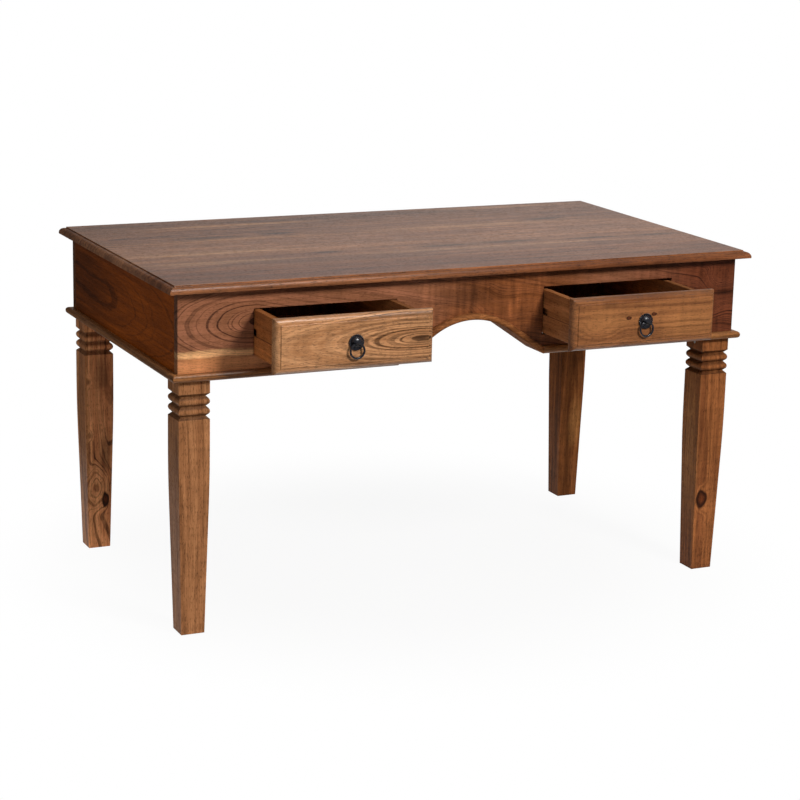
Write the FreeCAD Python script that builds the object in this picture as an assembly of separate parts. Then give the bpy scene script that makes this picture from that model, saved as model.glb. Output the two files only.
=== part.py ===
"""Writing desk with a moulded top, an arched kneehole and two drawers with ring pulls.

Millimetres. X runs along the desk, the drawers open towards -Y, Z is up.
The origin is on the floor, midway between the four feet.
At rest both drawers stand partly open.
"""
import FreeCAD
import Part
import math
import os

V = FreeCAD.Vector

# Whole desk
desk_width = 1400.0
desk_depth = 790.0
desk_height = 765.0

# Top, glued up from boards that run along the desk
top_thickness = 17.0
top_board_count = 5
top_edge_lip = 2.5
top_edge_ledge = 2.5
top_edge_step = 3.0
side_overhang = 25.0
front_overhang = 28.0

# Aprons and side panels
apron_height = 173.0
apron_thickness = 21.0

# Bottom frame, whose rounded nose stands proud of the aprons
frame_thickness = 16.0
frame_nose = 15.0
nose_round_share = 0.46

# Arched board over the kneehole, which is the space between the two drawers
kneehole_half_width = 178.0
arch_rise = 88.0
arch_radius = 160.0
arch_thickness = 13.0

# Legs, square in plan
leg_size = 69.0
foot_size = 52.0
leg_inset = 4.0
leg_block_height = 29.5
groove_depth = 7.0
groove_slope_height = 6.6
bead_pitch = 21.4
bead_count = 2
bead_nose = 3.0
shaft_length = 128.0
taper_blend_length = 60.0

# Corner blocks and leg bolts
corner_block_size = 60.0
corner_block_height = 40.0
leg_bolt_radius = 5.0
leg_bolt_depth = 62.0
leg_bolt_stub = 4.0
leg_washer_radius = 13.0
leg_washer_thickness = 2.0
leg_nut_width = 17.0
leg_nut_height = 8.0
lock_screw_drop = 13.0

# Battens that hold the top
batten_size = 20.0
batten_end_gap = 12.0
batten_screw_end_gap = 90.0
long_batten_screw_count = 4
short_batten_screw_count = 3
batten_screw_bite = 11.0

# Drawer openings in the front apron, one gap above and below for each drawer, left then right
end_stile_width = 168.0
opening_gaps_above = (2.0, 7.0)
opening_gaps_below = (1.5, 5.0)

# Drawer boxes
drawer_rise = 29.5
drawer_head_gap = 26.5
drawer_length = 450.0
drawer_side_gap = 1.5
drawer_side_thickness = 14.0
drawer_back_thickness = 13.0
drawer_back_drop = 8.0
drawer_floor_thickness = 5.0
drawer_floor_rise = 8.0
drawer_floor_housing = 5.0
drawer_pulled_out = (138.0, 145.0)

# Drawer fronts, which lap over the apron round their openings
front_side_lap = 16.0
front_end_lap = 9.0
front_thickness = 20.0
front_edge_lip = 6.0
front_edge_ledge = 1.2
front_edge_step = 2.0

# Runners and the guide boards that carry them
guide_thickness = 18.0
guide_margin = 10.5
runner_groove_height = 16.0
runner_groove_depth = 8.0
runner_groove_stop = 126.0
runner_clearance = 0.4
runner_tip_gap = 0.6
runner_setback = 3.0
runner_screw_count = 3
runner_screw_end_gap = 60.0
runner_screw_length = 20.0

# Ring pulls
pull_plate_radius = 16.5
pull_plate_thickness = 2.5
pull_bead_radius = 1.9
pull_bead_count = 24
pull_hood_radius = 12.9
pull_hood_sink = 1.2
pull_mouth_wall = 0.8
pull_pivot_offset = 5.0
pull_pivot_drop = 1.5
pull_shank_radius = 2.5
pull_shank_stub = 2.0
pull_nut_width = 9.0
pull_nut_height = 4.0
ring_radius = 15.6
ring_wire_radius = 2.2
ring_clearance = 0.45
ring_swing = 102.0

# Wood screws
screw_radius = 2.0
screw_head_radius = 4.0
screw_head_height = 2.2
screw_fit = 0.05

# How far cutting shapes run past what they cut
overrun = 2.0

# Levels and outer faces worked out from the sizes above
top_underside = desk_height - top_thickness
frame_top = top_underside - apron_height
leg_length = frame_top - frame_thickness
carcass_x = desk_width / 2 - side_overhang
carcass_y = desk_depth / 2 - front_overhang
inner_x = carcass_x - apron_thickness
inner_y = carcass_y - apron_thickness
nose_x = carcass_x + frame_nose
nose_y = carcass_y + frame_nose
frame_width = frame_nose + leg_inset + leg_size
leg_x = carcass_x - leg_inset - leg_size / 2
leg_y = carcass_y - leg_inset - leg_size / 2
opening_width = carcass_x - end_stile_width - kneehole_half_width
drawer_centre = kneehole_half_width + opening_width / 2
drawer_width = opening_width - 2 * drawer_side_gap
drawer_height = apron_height - drawer_rise - drawer_head_gap - batten_size
drawer_base_height = frame_top + drawer_rise
drawer_middle_height = drawer_base_height + drawer_height / 2
front_width = drawer_width + 2 * front_side_lap
front_height = drawer_height + 2 * front_end_lap
front_face = -front_thickness
pivot_y = front_face - pull_plate_thickness - pull_pivot_offset
pivot_height = drawer_middle_height - pull_pivot_drop

SIDES = ("left", "right")
SIGNS = {"left": -1, "right": 1}


def box(x0, x1, y0, y1, z0, z1):
    """Box between two corners."""
    return Part.makeBox(x1 - x0, y1 - y0, z1 - z0, V(x0, y0, z0))


def line(a, b):
    return Part.LineSegment(a, b).toShape()


def arc(a, through, b):
    return Part.Arc(a, through, b).toShape()


def moved(shape, x=0, y=0, z=0):
    copy = shape.copy()
    copy.translate(V(x, y, z))
    return copy


def mirrored(shape):
    """The same shape on the other side of the desk's middle."""
    return shape.mirror(V(0, 0, 0), V(1, 0, 0))


def joined(shapes):
    return shapes[0].fuse(shapes[1:]) if len(shapes) > 1 else shapes[0]


def edge_path(profile, place):
    """Edges along a profile of points. A nested pair is an arc: a point on it, then its end."""
    edges = []
    here = place(profile[0])
    for step in profile[1:]:
        if isinstance(step[0], tuple):
            end = place(step[1])
            edges.append(arc(here, place(step[0]), end))
        else:
            end = place(step)
            edges.append(line(here, end))
        here = end
    return edges, here


def slab_prism(width, run, profile):
    """Prism along Y whose two sides both follow a profile of (inset, height)."""
    half = width / 2
    foot_inset, foot_height = profile[0]
    right, right_end = edge_path(profile, lambda p: V(half - p[0], 0, p[1]))
    left, left_end = edge_path(profile, lambda p: V(p[0] - half, 0, p[1]))
    crown = line(right_end, left_end)
    base = line(V(foot_inset - half, 0, foot_height), V(half - foot_inset, 0, foot_height))
    outline = Part.Wire(Part.__sortEdges__(right + left + [crown, base]))
    return moved(Part.Face(outline).extrude(V(0, run, 0)), y=-run / 2)


def moulded_block(width, depth, profile):
    """Block, rectangular in plan, whose four sides all follow the same profile."""
    along = slab_prism(width, depth, profile)
    across = slab_prism(depth, width, profile)
    across.rotate(V(0, 0, 0), V(0, 0, 1), 90)
    return along.common(across)


def ovolo_profile(lip, ledge, step, thickness):
    """Moulded edge: upright lip, convex quarter round, ledge and small upright step."""
    round_radius = thickness - lip - step
    slant = round_radius * math.sqrt(0.5)
    return [
        (0, 0),
        (0, lip),
        ((round_radius - slant, lip + slant), (round_radius, lip + round_radius)),
        (round_radius + ledge, lip + round_radius),
        (round_radius + ledge, thickness),
    ]


def hexagon(width, height):
    """Hexagonal prism standing on the origin, width across its flats."""
    corner = width / math.sqrt(3)
    turns = [math.radians(60 * i) for i in range(6)]
    points = [V(corner * math.cos(t), corner * math.sin(t), 0) for t in turns]
    return Part.Face(Part.makePolygon(points + points[:1])).extrude(V(0, 0, height))


def wood_screw(length, grow=0):
    """Countersunk screw that points up, with the face of its head at height zero."""
    head = Part.makeCone(screw_head_radius + grow, screw_radius + grow, screw_head_height)
    shank = Part.makeCylinder(screw_radius + grow, length + grow)
    return head.fuse(shank).removeSplitter()


def even_places(low, high, count):
    return [low + (high - low) * i / (count - 1) for i in range(count)]


def batten_screw_places():
    """Plan positions of the screws that go up through the battens into the top."""
    mid_x = inner_x - batten_size / 2
    mid_y = inner_y - batten_size / 2
    along = even_places(-inner_x + batten_screw_end_gap, inner_x - batten_screw_end_gap,
                        long_batten_screw_count)
    across = even_places(-inner_y + batten_screw_end_gap, inner_y - batten_screw_end_gap,
                         short_batten_screw_count)
    places = [(x, y) for y in (-mid_y, mid_y) for x in along]
    return places + [(x, y) for x in (-mid_x, mid_x) for y in across]


def batten_screws(grow=0):
    screw = wood_screw(batten_size + batten_screw_bite, grow)
    level = top_underside - batten_size
    return [moved(screw, x, y, level) for x, y in batten_screw_places()]


def top_boards():
    """The moulded top, cut into the boards that it is glued up from."""
    profile = ovolo_profile(top_edge_lip, top_edge_ledge, top_edge_step, top_thickness)
    whole = moved(moulded_block(desk_width, desk_depth, profile), z=top_underside)
    whole = whole.cut(joined(batten_screws(screw_fit)))
    board_width = desk_depth / top_board_count
    boards = {}
    for i in range(top_board_count):
        near = -desk_depth / 2 + i * board_width
        band = box(-desk_width, desk_width, near, near + board_width, 0, desk_height + overrun)
        boards[f"top_board_{i + 1}"] = whole.common(band)
    return boards


def battens():
    """Battens inside the aprons, under the top."""
    z0 = top_underside - batten_size
    inner_end = inner_y - batten_size - batten_end_gap
    holes = joined(batten_screws(screw_fit))
    back = box(-inner_x, inner_x, inner_y - batten_size, inner_y, z0, top_underside)
    front = box(-inner_x, inner_x, -inner_y, batten_size - inner_y, z0, top_underside)
    right = box(inner_x - batten_size, inner_x, -inner_end, inner_end, z0, top_underside)
    return {
        "front_top_batten": front.cut(holes),
        "back_top_batten": back.cut(holes),
        "left_top_batten": mirrored(right).cut(holes),
        "right_top_batten": right.cut(holes),
    }


def arch_path(offset):
    """The arch seen from the front, set outwards from its lower face by an offset.

    Gives the point where its round meets the straight right flank, the height of its crown
    and the angle from the round's centre to that point.
    """
    centre = leg_length + arch_rise - arch_radius
    reach = math.hypot(kneehole_half_width, leg_length - centre)
    lean = math.atan2(leg_length - centre, kneehole_half_width)
    turn = lean + math.acos(arch_radius / reach)
    radius = arch_radius + offset
    tangent = (radius * math.cos(turn), centre + radius * math.sin(turn))
    return tangent, centre + radius, turn


def flank_x(offset, level):
    """Where the offset flank of the arch crosses a level."""
    tangent, _, turn = arch_path(offset)
    return tangent[0] + (tangent[1] - level) * math.tan(turn)


def arch_edges(offset, level):
    """Edges of the arch from its right foot at a level, over the crown, to its left foot."""
    tangent, crown, _ = arch_path(offset)
    foot = flank_x(offset, level)
    right_foot, left_foot = V(foot, 0, level), V(-foot, 0, level)
    right, left = V(tangent[0], 0, tangent[1]), V(-tangent[0], 0, tangent[1])
    edges = [line(right_foot, right), arc(right, V(0, 0, crown), left), line(left, left_foot)]
    return edges, right_foot, left_foot


def extruded(edges, y0, y1):
    face = Part.Face(Part.Wire(Part.__sortEdges__(edges)))
    return moved(face.extrude(V(0, y1 - y0, 0)), y=y0)


def front_apron():
    """Front board with the arch and both drawer openings cut out of it."""
    arch, right_foot, left_foot = arch_edges(arch_thickness, frame_top)
    corners = [left_foot, V(-carcass_x, 0, frame_top), V(-carcass_x, 0, top_underside),
               V(carcass_x, 0, top_underside), V(carcass_x, 0, frame_top), right_foot]
    rim = [line(a, b) for a, b in zip(corners, corners[1:])]
    board = extruded(arch + rim, -carcass_y, -inner_y)
    for side, above, below in zip(SIDES, opening_gaps_above, opening_gaps_below):
        middle = SIGNS[side] * drawer_centre
        board = board.cut(box(middle - opening_width / 2, middle + opening_width / 2,
                              -carcass_y - overrun, overrun - inner_y,
                              drawer_base_height - below,
                              drawer_base_height + drawer_height + above))
    return board


def back_apron():
    return box(-carcass_x, carcass_x, inner_y, carcass_y, frame_top, top_underside)


def right_side_panel():
    return box(inner_x, carcass_x, -inner_y, inner_y, frame_top, top_underside)


def nosed(board, nose_level, thickness):
    """Round the two long edges of a board that lie on its nose at -Y."""
    def on_nose(edge):
        flat = all(abs(v.Y + nose_level) < thickness * nose_round_share for v in edge.Vertexes)
        return flat and edge.BoundBox.XLength > thickness
    return board.makeFillet(thickness * nose_round_share, list(filter(on_nose, board.Edges)))


def frame_bar(half_length, half_run):
    """Frame board along X with its nose at -Y, mitred at both ends, drilled for the leg bolts."""
    bar = box(-half_length, half_length, -half_run, frame_width - half_run, leg_length, frame_top)
    bar = nosed(bar, half_run, frame_thickness)
    inner_end = half_length - frame_width
    plan = [V(-half_length, -half_run, leg_length), V(half_length, -half_run, leg_length),
            V(inner_end, frame_width - half_run, leg_length),
            V(-inner_end, frame_width - half_run, leg_length)]
    mitre = Part.Face(Part.makePolygon(plan + plan[:1])).extrude(V(0, 0, frame_thickness))
    bar = bar.common(mitre)
    bolt_x = half_length - frame_nose - leg_inset - leg_size / 2
    bolt_y = frame_nose + leg_inset + leg_size / 2 - half_run
    drill = Part.makeCylinder(leg_bolt_radius + screw_fit, frame_thickness,
                              V(bolt_x, bolt_y, leg_length))
    return bar.cut(drill).cut(mirrored(drill))


def turned(shape, degrees):
    copy = shape.copy()
    copy.rotate(V(0, 0, 0), V(0, 0, 1), degrees)
    return copy


def kneehole_gap():
    """What the arched board takes out of the front frame board, between its two joints."""
    low, high = flank_x(0, leg_length), flank_x(arch_thickness, frame_top)
    points = [V(-low, 0, leg_length), V(low, 0, leg_length), V(high, 0, frame_top), V(-high, 0, frame_top)]
    edges = [line(a, b) for a, b in zip(points, points[1:] + points[:1])]
    return extruded(edges, -nose_y - overrun, frame_width - nose_y + overrun)


def frame_boards():
    front = frame_bar(nose_x, nose_y).cut(kneehole_gap())
    left_half, right_half = sorted(front.Solids, key=lambda s: s.CenterOfMass.x)
    side = frame_bar(nose_y, nose_x)
    return {
        "front_left_frame_board": left_half,
        "front_right_frame_board": right_half,
        "back_frame_board": turned(frame_bar(nose_x, nose_y), 180),
        "left_frame_board": turned(side, -90),
        "right_frame_board": turned(side, 90),
        "arched_board": arched_board(),
    }


def arched_board():
    """Board that carries the frame's nose up and over the kneehole."""
    under, under_right, under_left = arch_edges(0, leg_length)
    over, over_right, over_left = arch_edges(arch_thickness, frame_top)
    joints = [line(under_right, over_right), line(under_left, over_left)]
    board = extruded(under + over + joints, -nose_y, frame_width - nose_y)
    return nosed(board, nose_y, arch_thickness)


def blend(corner, below, reach):
    """Start, middle and end of an arc between a sloping line from below and an upright line."""
    slope = math.atan2(corner[0] - below[0], corner[1] - below[1])
    radius = reach / math.tan(abs(slope) / 2)
    start = (corner[0] - reach * math.sin(slope), corner[1] - reach * math.cos(slope))
    end = (corner[0], corner[1] + reach)
    half = slope / 2
    sweep_x = radius * (1 - math.cos(half))
    middle = (corner[0] + math.copysign(sweep_x, -slope), end[1] - radius * math.sin(abs(half)))
    return start, middle, end


def leg_profile():
    """Leg from foot to top: taper, upright shaft, grooves and beads, square block."""
    foot_inset = (leg_size - foot_size) / 2
    block_base = leg_length - leg_block_height
    lowest = block_base - groove_slope_height - bead_count * bead_pitch
    shaft_top = lowest - groove_slope_height
    start, middle, end = blend((0, shaft_top - shaft_length), (foot_inset, 0), taper_blend_length)
    shoulder = groove_slope_height * (groove_depth - bead_nose) / groove_depth
    profile = [(foot_inset, 0), start, (middle, end), (0, shaft_top)]
    for i in range(bead_count):
        groove = lowest + i * bead_pitch
        profile.append((groove_depth, groove))
        profile.append((bead_nose, groove + shoulder))
        profile.append(((0, groove + bead_pitch / 2), (bead_nose, groove + bead_pitch - shoulder)))
    profile.append((groove_depth, lowest + bead_count * bead_pitch))
    profile.append((0, block_base))
    profile.append((0, leg_length))
    return profile


def lock_screw(grow=0):
    """Screw in the leg's inner face that locks its bolt, drawn for the right-hand legs."""
    length = leg_size / 2 - leg_bolt_radius - 2 * screw_fit
    screw = wood_screw(length, grow)
    screw.rotate(V(0, 0, 0), V(0, 1, 0), 90)
    return moved(screw, x=-leg_size / 2, z=leg_length - lock_screw_drop)


def right_leg():
    """Leg with the holes for its bolt and its locking screw, standing on the origin."""
    leg = moulded_block(leg_size, leg_size, leg_profile())
    bolt = Part.makeCylinder(leg_bolt_radius + screw_fit, leg_bolt_depth + overrun,
                             V(0, 0, leg_length - leg_bolt_depth))
    return leg.cut(bolt).cut(lock_screw(screw_fit))


def leg_places():
    """Name and plan position of each corner of the desk."""
    return [(f"{end}_{side}", SIGNS[side] * leg_x, sign * leg_y)
            for end, sign in (("front", -1), ("back", 1)) for side in SIDES]


def at_corners(right_shape, z=0):
    """A shape drawn for the right-hand legs, set at all four corners."""
    left_shape = mirrored(right_shape)
    return {name: moved(right_shape if x > 0 else left_shape, x, y, z)
            for name, x, y in leg_places()}


def corner_blocks():
    """Blocks inside the corners of the carcass that the leg bolts pull against."""
    blocks = {}
    for name, x, y in leg_places():
        block = box(inner_x - corner_block_size, inner_x, inner_y - corner_block_size, inner_y,
                    frame_top, frame_top + corner_block_height)
        drill = Part.makeCylinder(leg_bolt_radius + screw_fit, corner_block_height,
                                  V(leg_x, leg_y, frame_top))
        block = block.cut(drill)
        block = block if x > 0 else mirrored(block)
        blocks[f"{name}_corner_block"] = block if y > 0 else block.mirror(V(0, 0, 0), V(0, 1, 0))
    return blocks


def leg_hardware():
    """Bolts, washers, nuts and locking screws, one of each at every leg."""
    seat = frame_top + corner_block_height
    bolt_top = seat + leg_washer_thickness + leg_nut_height + leg_bolt_stub
    bolt_base = leg_length - leg_bolt_depth
    bolt = Part.makeCylinder(leg_bolt_radius, bolt_top - bolt_base, V(0, 0, bolt_base))
    hole = Part.makeCylinder(leg_bolt_radius + screw_fit, desk_height)
    washer = Part.makeCylinder(leg_washer_radius, leg_washer_thickness).cut(hole)
    nut = hexagon(leg_nut_width, leg_nut_height).cut(hole)
    groups = {
        "leg_bolts": at_corners(bolt),
        "leg_washers": at_corners(washer, seat),
        "leg_nuts": at_corners(nut, seat + leg_washer_thickness),
        "leg_locking_screws": at_corners(lock_screw()),
    }
    return {name: Part.makeCompound(list(pieces.values())) for name, pieces in groups.items()}


def runner_span():
    """Front and back ends of the runners."""
    return runner_groove_stop + runner_setback - carcass_y, inner_y


def runner_screw_places():
    """Screws on one runner, pointing along +X with their heads on the runner's face."""
    start, end = runner_span()
    screw = wood_screw(runner_screw_length)
    hole = wood_screw(runner_screw_length, screw_fit)
    places = even_places(start + runner_screw_end_gap, end - runner_screw_end_gap, runner_screw_count)
    face = drawer_width / 2 - runner_groove_depth + runner_tip_gap
    for shape in (screw, hole):
        shape.rotate(V(0, 0, 0), V(0, 1, 0), 90)
    screws = [moved(screw, face, y, drawer_middle_height) for y in places]
    holes = [moved(hole, face, y, drawer_middle_height) for y in places]
    return screws, holes


def runners_and_guides():
    """Guide boards beside each drawer, from front to back apron, and the runners on them."""
    screws, holes = runner_screw_places()
    start, end = runner_span()
    inner_face = opening_width / 2
    tip = drawer_width / 2 - runner_groove_depth + runner_tip_gap
    half_runner = runner_groove_height / 2 - runner_clearance
    guide = box(inner_face, inner_face + guide_thickness, -inner_y, inner_y,
                drawer_base_height - guide_margin, drawer_base_height + drawer_height + guide_margin)
    runner = box(tip, inner_face, start, end,
                 drawer_middle_height - half_runner, drawer_middle_height + half_runner)
    drilled = joined(holes)
    guide, runner = guide.cut(drilled), runner.cut(drilled)
    parts, all_screws = {}, []
    for side in SIDES:
        middle = SIGNS[side] * drawer_centre
        for hand in SIDES:
            turn = mirrored if hand == "left" else (lambda shape: shape)
            parts[f"{side}_drawer_{hand}_guide"] = moved(turn(guide), middle)
            parts[f"{side}_drawer_{hand}_runner"] = moved(turn(runner), middle)
            all_screws += [moved(turn(screw), middle) for screw in screws]
    parts["runner_screws"] = Part.makeCompound(all_screws)
    return parts


def drawer_floor():
    half = drawer_width / 2 - drawer_side_thickness + drawer_floor_housing
    z0 = drawer_base_height + drawer_floor_rise
    return box(-half, half, -drawer_floor_housing, drawer_length, z0, z0 + drawer_floor_thickness)


def drawer_side():
    """Right-hand side, grooved outside for the runner and inside for the floor."""
    outer = drawer_width / 2
    side = box(outer - drawer_side_thickness, outer, 0, drawer_length,
               drawer_base_height, drawer_base_height + drawer_height)
    groove = box(outer - runner_groove_depth, outer + overrun, runner_groove_stop, drawer_length + overrun,
                 drawer_middle_height - runner_groove_height / 2,
                 drawer_middle_height + runner_groove_height / 2)
    return side.cut(groove).cut(drawer_floor())


def drawer_back():
    half = drawer_width / 2 - drawer_side_thickness
    floor_top = drawer_base_height + drawer_floor_rise + drawer_floor_thickness
    return box(-half, half, drawer_length - drawer_back_thickness, drawer_length,
               floor_top, drawer_base_height + drawer_height - drawer_back_drop)


def drawer_front():
    """Overlay front with a moulded edge, drilled for the pull and housed for the floor."""
    profile = ovolo_profile(front_edge_lip, front_edge_ledge, front_edge_step, front_thickness)
    board = moulded_block(front_width, front_height, profile)
    board.rotate(V(0, 0, 0), V(1, 0, 0), 90)
    board = moved(board, z=drawer_middle_height)
    drill = along_y(Part.makeCylinder(pull_shank_radius + screw_fit, front_thickness + overrun), overrun)
    return board.cut(drill).cut(drawer_floor())


def along_y(shape, start):
    """Turn a shape that stands on +Z so that it points towards -Y from a start, at the pull's height."""
    copy = shape.copy()
    copy.rotate(V(0, 0, 0), V(1, 0, 0), 90)
    return moved(copy, y=start, z=drawer_middle_height)


def pull_plate():
    """Round back plate with a rim of beads."""
    plate = Part.makeCylinder(pull_plate_radius, pull_plate_thickness)
    ring = pull_plate_radius - pull_bead_radius / 2
    turns = [2 * math.pi * i / pull_bead_count for i in range(pull_bead_count)]
    places = [V(ring * math.cos(t), ring * math.sin(t), pull_plate_thickness) for t in turns]
    beads = [Part.makeSphere(pull_bead_radius, place) for place in places]
    hole = Part.makeCylinder(pull_shank_radius + screw_fit, pull_plate_thickness + overrun)
    return along_y(plate.fuse(beads).cut(hole), front_face)


def ring_drop(reach):
    """How far the ring's wire has curved away from the hinge line, this far along it."""
    return ring_radius - math.sqrt(ring_radius ** 2 - reach ** 2)


def pull_post():
    """Domed hood with a slanting mouth, an eye for the ring and a threaded shank through the front."""
    ball = Part.makeSphere(pull_hood_radius, V(0, 0, -pull_hood_sink))
    hood = ball.common(Part.makeCylinder(pull_hood_radius, pull_hood_radius))
    shank_length = pull_plate_thickness + front_thickness + pull_nut_height + pull_shank_stub
    shank = Part.makeCylinder(pull_shank_radius, shank_length, V(0, 0, -shank_length))
    post = along_y(hood.fuse(shank), front_face - pull_plate_thickness)
    return post.cut(hood_mouth()).cut(ring_eye())


def hood_mouth():
    """What is cut away in front of the hood's mouth, which faces halfway between out and down."""
    span = 2 * pull_hood_radius
    block = box(-span, span, -span, 0, -span, span)
    block.rotate(V(0, 0, 0), V(1, 0, 0), 45)
    slant = (ring_wire_radius + ring_clearance + pull_mouth_wall) * math.sqrt(0.5)
    return moved(block, y=pivot_y - slant, z=pivot_height - slant)


def ring_eye():
    """Hole for the ring, narrow in the middle and flared towards the mouth for the swinging wire."""
    waist = ring_wire_radius + ring_clearance
    reach = pull_hood_radius
    half_swing = math.radians(ring_swing / 2)
    lean = ring_drop(reach) * math.cos(half_swing)
    mouth = waist + ring_drop(reach) * math.sin(half_swing)
    slant = lean * math.sqrt(0.5)
    middle = V(0, pivot_y, pivot_height)
    flares = [Part.makeCone(waist, mouth, math.hypot(reach, lean), middle, V(way, -slant, -slant))
              for way in (reach, -reach)]
    return joined(flares + [Part.makeSphere(waist, middle)])


def pull_nut():
    hole = Part.makeCylinder(pull_shank_radius + screw_fit, pull_nut_height)
    return along_y(hexagon(pull_nut_width, pull_nut_height).cut(hole), pull_nut_height)


def pull_ring():
    """Ring that hangs from the hood."""
    return Part.makeTorus(ring_radius, ring_wire_radius,
                          V(0, pivot_y, pivot_height - ring_radius), V(0, 1, 0))


def drawers():
    side = drawer_side()
    pieces = {
        "front": drawer_front(),
        "left_side": mirrored(side),
        "right_side": side,
        "back": drawer_back(),
        "floor": drawer_floor(),
        "pull_plate": pull_plate(),
        "pull_post": pull_post(),
        "pull_nut": pull_nut(),
        "pull_ring": pull_ring(),
    }
    parts = {}
    for hand, pulled in zip(SIDES, drawer_pulled_out):
        for name, piece in pieces.items():
            placed = moved(piece, SIGNS[hand] * drawer_centre, -carcass_y - pulled)
            parts[f"{hand}_drawer_{name}"] = placed
    return parts


def desk():
    """Every piece of the desk by name."""
    panel = right_side_panel()
    parts = top_boards()
    parts.update(battens())
    parts["batten_screws"] = Part.makeCompound(batten_screws())
    parts["front_apron"] = front_apron()
    parts["back_apron"] = back_apron()
    parts["left_side_panel"] = mirrored(panel)
    parts["right_side_panel"] = panel
    parts.update(frame_boards())
    parts.update(corner_blocks())
    parts.update({f"{name}_leg": leg for name, leg in at_corners(right_leg()).items()})
    parts.update(leg_hardware())
    parts.update(runners_and_guides())
    parts.update(drawers())
    return parts


os.makedirs("parts", exist_ok=True)
for node, shape in desk().items():
    shape.exportStep(f"parts/{node}.step")
    solids = len(shape.Solids)
    print(f"{node}: solids {solids}, {shape.Volume / 1000:.1f} cm3, valid {shape.isValid()}")
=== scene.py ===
# %% [markdown]
# # A writing desk in lacquered acacia
#
# The desk is a frame of solid boards: a moulded top, aprons on four square tapering legs, an
# arched kneehole and two drawers with iron ring pulls. Its shapes come from a CAD model, so
# this lesson is about finish: how one way of drawing timber can dress 45 boards, each with its
# own figure, and how light makes a satin lacquer look like one.

# %% Load the desk
import bpy
import math
from mathutils import Matrix, Vector


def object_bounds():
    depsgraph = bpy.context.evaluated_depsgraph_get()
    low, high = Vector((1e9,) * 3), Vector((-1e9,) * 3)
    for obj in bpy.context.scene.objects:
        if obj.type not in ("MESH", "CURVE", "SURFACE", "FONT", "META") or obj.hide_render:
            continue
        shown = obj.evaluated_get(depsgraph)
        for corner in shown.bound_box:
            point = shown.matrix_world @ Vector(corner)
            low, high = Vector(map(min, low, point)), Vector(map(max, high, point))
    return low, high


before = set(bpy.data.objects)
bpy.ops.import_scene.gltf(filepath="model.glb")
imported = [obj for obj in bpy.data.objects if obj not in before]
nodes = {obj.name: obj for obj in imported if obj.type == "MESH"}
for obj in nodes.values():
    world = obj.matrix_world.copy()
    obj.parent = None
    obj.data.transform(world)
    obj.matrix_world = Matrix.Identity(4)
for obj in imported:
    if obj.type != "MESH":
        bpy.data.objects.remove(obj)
cad_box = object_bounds()
print("desk nodes:", len(nodes), "box:", [[round(v, 3) for v in corner] for corner in cad_box])

# %% [markdown]
# ## The camera
#
# A long lens from well back keeps the legs nearly parallel. The camera could be steered with a
# tracking constraint, but a plain place, aim and roll are easier to read and to change. Sizes
# are in millimetres here, as on a drawing, and one function turns them into Blender's metres.

# %% Set the camera
lens_length = 102.1
sensor_width = 36
camera_place = (-2194.4, -4693.6, 1653.0)
camera_aim = (7.0, 2.2, 379.0)
camera_roll = 1.32


def metres(place):
    """A place in millimetres, as a vector in metres."""
    return Vector(place) / 1000


def aimed(place, aim, roll=0):
    """Matrix for a camera or a lamp that stands at a place and points at an aim."""
    heading = (metres(aim) - metres(place)).to_track_quat("-Z", "Y").to_matrix().to_4x4()
    return Matrix.Translation(metres(place)) @ heading @ Matrix.Rotation(math.radians(roll), 4, "Z")


camera = bpy.data.objects.new("camera", bpy.data.cameras.new("camera"))
bpy.context.scene.collection.objects.link(camera)
camera.data.lens = lens_length
camera.data.sensor_width = sensor_width
camera.matrix_world = aimed(camera_place, camera_aim, camera_roll)
bpy.context.scene.camera = camera
bpy.context.scene.view_settings.view_transform = "Standard"
print("camera:", [round(v, 2) for v in camera.location], "lens", camera.data.lens)

# %% [markdown]
# ## Nodes and colours
#
# Every finish below is a tree of shader nodes. One small function adds a node, sets its
# properties and fills or links its inputs, so that a tree reads like a recipe. Colours are
# written as they look on a screen, and a second function turns them into the linear light
# that the renderer works in.

# %% Helpers for nodes and colours


def add(tree, kind, inputs=(), **settings):
    """Add a shader node with its settings; inputs are values or sockets. Gives its outputs."""
    node = tree.nodes.new("ShaderNode" + kind)
    for name, value in settings.items():
        setattr(node, name, value)
    for key, value in dict(inputs).items():
        if isinstance(value, bpy.types.NodeSocket):
            tree.links.new(value, node.inputs[key])
        else:
            node.inputs[key].default_value = value
    return node.outputs


def linear(code):
    """An sRGB hex colour as linear red, green, blue and alpha."""
    channels = [int(code[i:i + 2], 16) / 255 for i in (1, 3, 5)]
    light = [c / 12.92 if c <= 0.04045 else ((c + 0.055) / 1.055) ** 2.4 for c in channels]
    return (*light, 1)


def new_material(name):
    """An empty material with its output node. Gives the material, its tree and the output."""
    material = bpy.data.materials.new(name)
    material.use_nodes = True
    material.node_tree.nodes.clear()
    output = material.node_tree.nodes.new("ShaderNodeOutputMaterial")
    return material, material.node_tree, output


print("linear value of middle grey:", round(linear("#808080")[0], 3))

# %% [markdown]
# ## Floor and backdrop
#
# The desk stands on a sheet of white studio paper. A lit white plane would turn grey away from
# the lamps, so most of the white that is seen is the paper's own light, and all of it at the
# rim, where the sheet has to melt into the white backdrop. The rest is plain diffuse paint,
# which keeps a soft shadow between the legs. The sheet lies half a millimetre under the feet, so
# that two faces never share one place.

# %% Lay the paper
paper_half = 1050
paper_drop = 0.5
shadow_reach = (400, 1030)
shadow_depth = 0.09

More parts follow.
